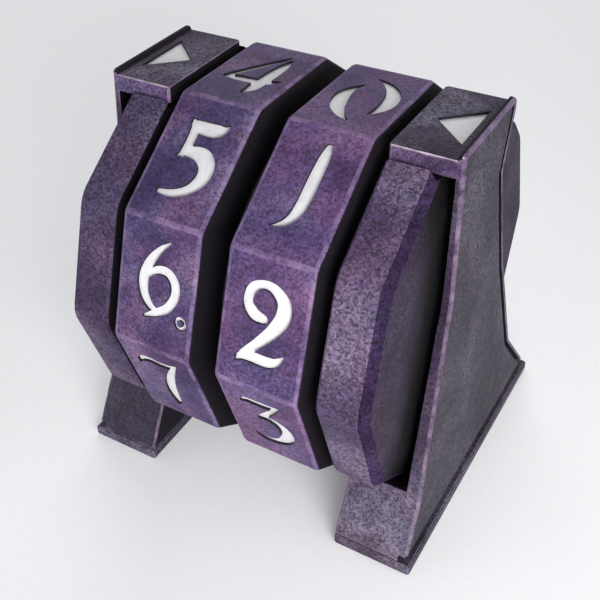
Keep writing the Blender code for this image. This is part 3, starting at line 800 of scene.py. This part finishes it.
def dress_wheel(bm):
    """Near-black painted shade on the sides and bore, dyed faces, and corners lit in patches: wear and
    painted highlight.
    """
    for face in bm.faces:
        sideways = abs(face.normal.x)
        if sideways > ALONG or from_axle(face.calc_center_median()) < WHEEL_R * RIM_SHARE:
            face.material_index = DEEP_SHADE
        elif sideways < ACROSS and on_a_corner(face.normal):
            face.material_index = WORN_AND_LIT


def dress_cap(bm):
    """Near-black painted shade on the inner end, bore and notch; a purple chamfer and a dark grey recessed
    end, both darker than the cap: painted shade.
    """
    middle = sum(abs(v.co.x) for v in bm.verts) / len(bm.verts)
    for face in bm.faces:
        centre = face.calc_center_median()
        sideways = abs(face.normal.x)
        outer = abs(centre.x) > middle
        high = centre.z - AXLE_Z > WHEEL_R * RIM_SHARE
        in_notch = high and abs(centre.y) < WHEEL_R * NOTCH_SHARE
        in_bore = all(from_axle(v.co) < WHEEL_R * BORE_SHARE for v in face.verts)
        if in_notch or in_bore or (sideways > ALONG and not outer):
            face.material_index = DEEP_SHADE
        elif sideways > ALONG:
            face.material_index = RECESS
        elif sideways > LEANING and outer:
            face.material_index = CHAMFER


def narrow(face):
    return face.calc_area() < NARROW * max(edge.calc_length() for edge in face.edges)


def is_lip(face):
    """The chamfer along the front edge of the bridge's top."""
    high = face.calc_center_median().z > AXLE_Z + READING_PLANE * TOP_SHARE
    return high and face.normal.y < -LEANING and face.normal.z > LEANING


def dress_frame(bm, side):
    """Grey wall, purple front faces and a top of its own, their tones painted light and shade; near-black
    painted shade on the inner faces and grooves; chamfers lit in patches, wear and painted highlight, and a
    painted highlight on the lip.
    """
    outward = [f for f in bm.faces if f.normal.x * side > ALONG]
    wall = max(outward, key=lambda f: f.calc_area())
    wall_normal, wall_point = wall.normal.copy(), wall.calc_center_median()
    for face in bm.faces:
        deepest = max((wall_point - v.co).dot(wall_normal) for v in face.verts)
        if face.normal.x * side < -ALONG or GROOVE_NEAR < deepest < GROOVE_FAR:
            face.material_index = DEEP_SHADE
        elif narrow(face):
            face.material_index = LIP if is_lip(face) else WORN_AND_LIT
        elif face.material_index == PLAIN and face.normal.y < -LEANING:
            face.material_index = FRONT
        elif face.material_index == PLAIN and face.normal.z > ALONG:
            face.material_index = TOP


def fit(piece, node, body):
    """Shade a finished piece and let it stand in for a node of the CAD."""
    shade(piece)
    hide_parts(node)
    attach(piece, body)


def add_wheel(name, node, body, skin, middle_x, top_digit):
    bm = clean_copy(node)
    soften(bm, WHEEL_EDGE, BARREL_TURN, on_the_rim)
    dress_wheel(bm)
    piece = to_piece(name, bm, skin)
    carve(piece, numeral_cutter(middle_x, top_digit))
    fit(piece, node, body)


def add_frame(name, node, side, skin):
    bm = clean_copy(node)
    soften(bm, FRAME_EDGE, STAND_TURN)
    dress_frame(bm, side)
    piece = to_piece(name, bm, skin)
    carve(piece, pointer_cutter(side))
    fit(piece, node, "stand")


def add_cap(name, node, skin):
    bm = clean_copy(node)
    soften(bm, CAP_EDGE, BARREL_TURN, on_the_rim, slot=PLAIN)
    dress_cap(bm)
    fit(to_piece(name, bm, skin), node, "stand")


def add_base(name, node):
    bm = clean_copy(node)
    soften(bm, BASE_EDGE, STAND_TURN)
    for face in bm.faces:
        if face.normal.y < -LEANING:
            face.material_index = FRONT
    fit(to_piece(name, bm, RIGHT_FRAME_SKIN), node, "stand")


def coat_nodes():
    """Give the CAD's own objects the materials of this scene."""
    for node in NODES.values():
        for slot in node.material_slots:
            stem = slot.material.name.split(".")[0]
            if stem in CARRIED_OVER:
                slot.material = CARRIED_OVER[stem]


add_wheel("tens_wheel_numbered", "tens_wheel", "tens_dial", TENS_SKIN, -WHEEL_X, 4)
add_wheel("units_wheel_numbered", "units_wheel", "units_dial", UNITS_SKIN, WHEEL_X, 0)
add_frame("left_side_frame_marked", "left_side_frame", -1, LEFT_FRAME_SKIN)
add_frame("right_side_frame_marked", "right_side_frame", 1, RIGHT_FRAME_SKIN)
add_cap("left_end_cap_worn", "left_end_cap", LEFT_CAP_SKIN)
add_cap("right_end_cap_worn", "right_end_cap", RIGHT_CAP_SKIN)
add_base("base_plate_worn", "base_plate")
coat_nodes()

# The studio: floor just under the feet, its corners, and the glow that the camera sees on it
FLOOR_Z = -0.00002
FLOOR_CORNERS = ((-1.5, -1.5), (1.5, -1.5), (1.5, 1.5), (-1.5, 1.5))
FLOOR_GLOW = (0.90, 0.91, 0.93, 1.0)
GLOW_LEVEL = 0.13

# The sky that lights the object, and the backdrop that the camera sees in its place
SKY = (0.90, 0.91, 0.94, 1.0)
SKY_LEVEL = 0.35
BACKDROP = (0.86, 0.86, 0.87, 1.0)
BACKDROP_LEVEL = 1.0

# The camera, solved from the photograph: its place in wheel radii from the axle's middle, the
# way it looks in degrees, and its focal length in picture widths
CAMERA_PLACE = (1.998, -3.507, 2.915)
CAMERA_AZIMUTH, CAMERA_ELEVATION, CAMERA_ROLL = 31.544, 35.166, -1.753
FOCAL_LENGTH = 965.0 / 600.0
SENSOR = 36.0
CLIP_NEAR, CLIP_FAR = 0.005, 10.0


def add_floor():
    """A pale card. The camera and mirrors see it a little brighter than it lights the object."""
    g = Coat("floor_card")
    grain = g.noise(g.coords(), 1.5, 3.0, 0.6)
    colour = g.ramp(grain, (0.3, (0.86, 0.86, 0.87)), (0.7, (0.89, 0.89, 0.90)))
    g.shader.inputs["Emission Color"].default_value = FLOOR_GLOW
    g.set(g.shader.inputs["Emission Strength"], g.math("MULTIPLY", g.looked_at(), GLOW_LEVEL))
    material = g.finish(colour, 0.8, specular=0.2)
    bm = bmesh.new()
    bm.faces.new([bm.verts.new((x, y, FLOOR_Z)) for x, y in FLOOR_CORNERS])
    to_piece("floor", bm, [material])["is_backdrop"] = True


def add_light(name, azimuth, elevation, distance, size, level, spread=180.0):
    """A soft light, width by height. A level of 1 alone would light a white card fully."""
    a, e = math.radians(azimuth), math.radians(elevation)
    back = Vector((math.sin(a) * math.cos(e), -math.cos(a) * math.cos(e), math.sin(e)))
    data = bpy.data.lights.new(name, "AREA")
    data.shape = "RECTANGLE"
    data.size, data.size_y = size
    data.energy = level * math.pi ** 2 * distance ** 2
    data.spread = math.radians(spread)
    lamp = bpy.data.objects.new(name, data)
    bpy.context.scene.collection.objects.link(lamp)
    lamp.location = Vector((0, 0, AXLE_Z)) + back * distance
    lamp.rotation_euler = (-back).to_track_quat("-Z", "Y").to_euler()
    lamp.visible_camera = False


def add_sky():
    """Even light, with a pale backdrop in its place for the camera and for mirrors."""
    world = bpy.data.worlds.new("studio")
    bpy.context.scene.world = world
    world.use_nodes = True
    g = Graph(world.node_tree)
    sky = g.tree.nodes["Background"]
    backdrop = g.add("ShaderNodeBackground")
    for node, colour, level in ((sky, SKY, SKY_LEVEL), (backdrop, BACKDROP, BACKDROP_LEVEL)):
        node.inputs["Color"].default_value = colour
        node.inputs["Strength"].default_value = level
    blend = g.add("ShaderNodeMixShader")
    g.set(blend.inputs["Fac"], g.looked_at())
    g.set(blend.inputs[1], sky.outputs["Background"])
    g.set(blend.inputs[2], backdrop.outputs["Background"])
    g.set(g.tree.nodes["World Output"].inputs["Surface"], blend.outputs["Shader"])


def add_camera():
    """The photograph's camera, its picture shifted so that the object is in the middle."""
    data = bpy.data.cameras.new("camera")
    data.sensor_width = SENSOR
    data.lens = FOCAL_LENGTH * SENSOR
    data.clip_start, data.clip_end = CLIP_NEAR, CLIP_FAR
    camera = bpy.data.objects.new("camera", data)
    bpy.context.scene.collection.objects.link(camera)
    bpy.context.scene.camera = camera
    rotation = Matrix.Identity(3)
    for degrees, axis in ((CAMERA_AZIMUTH, "Z"), (90.0 - CAMERA_ELEVATION, "X"), (CAMERA_ROLL, "Z")):
        rotation = rotation @ Matrix.Rotation(math.radians(degrees), 3, axis)
    place = Vector(CAMERA_PLACE) * WHEEL_R + Vector((0, 0, AXLE_Z))
    camera.matrix_world = Matrix.Translation(place) @ rotation.to_4x4()
    eye = rotation.transposed()
    across, up = [], []
    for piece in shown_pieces():
        for vertex in piece.data.vertices:
            seen = eye @ (piece.matrix_world @ vertex.co - place)
            across.append(seen.x / -seen.z)
            up.append(seen.y / -seen.z)
    data.shift_x = FOCAL_LENGTH * (min(across) + max(across)) / 2
    data.shift_y = FOCAL_LENGTH * (min(up) + max(up)) / 2


add_floor()
add_light("key_softbox", 46.0, 17.0, 0.10, (0.07, 0.026), 0.215, spread=70.0)
add_light("left_softbox", -60.0, 30.0, 0.40, (0.24, 0.24), 0.06)
add_light("low_softbox", -15.0, -6.0, 0.12, (0.10, 0.007), 0.20)
add_light("wall_softbox", 100.0, 26.0, 0.40, (0.24, 0.24), 0.14)
add_light("back_softbox", 206.0, 44.0, 0.40, (0.30, 0.22), 0.32)
add_sky()
add_camera()
bpy.context.scene.view_settings.view_transform = "Standard"
